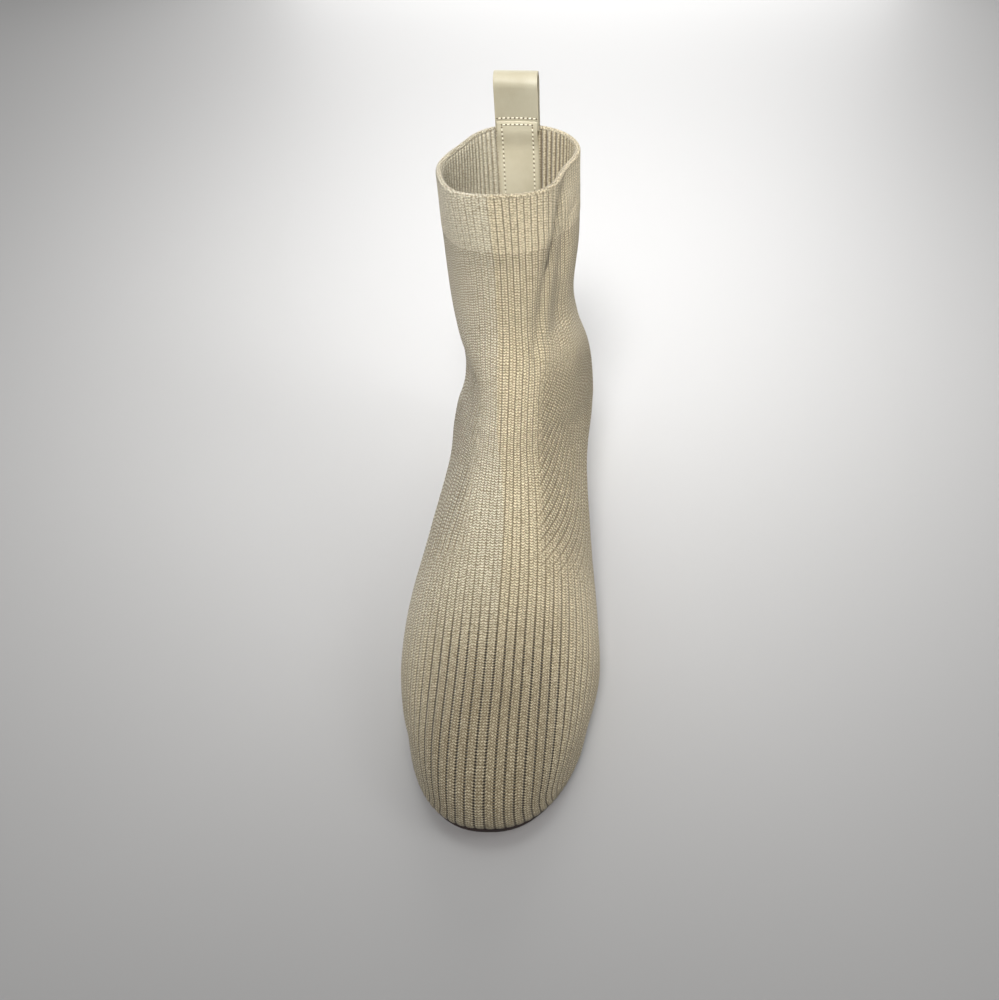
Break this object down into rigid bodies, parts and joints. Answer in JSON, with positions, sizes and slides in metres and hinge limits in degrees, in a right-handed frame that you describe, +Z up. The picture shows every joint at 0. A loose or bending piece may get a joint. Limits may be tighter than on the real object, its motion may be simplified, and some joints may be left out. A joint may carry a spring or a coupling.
{
  "type": "ankle boot",
  "caption": "Pull-on ankle boot in ribbed knit with a deeper cuff, round toe, leather pull loop at the back, thin dark sole and a covered block heel.",
  "frame": {"origin": "centre of the heel's face on the floor", "axes": "+Z up, -Y towards the toe, +X towards the inner (medial) side of this right boot"},
  "size_m": [0.0876, 0.2605, 0.2073],
  "materials": {
    "knit": "matt ribbed knit in bone beige",
    "leather": "smooth satin leather in the same beige",
    "insole": "matt lining leather",
    "outsole": "dark brown with a low sheen",
    "heel_cover": "covered in smooth leather",
    "lift": "matt dark rubber"
  },
  "bodies": {
    "root": {"upper": "knit", "back_stay": "leather", "pull_loop": "leather", "insole": "insole", "outsole": "outsole", "heel": "heel_cover", "top_lift": "lift"}
  },
  "joints": []
}
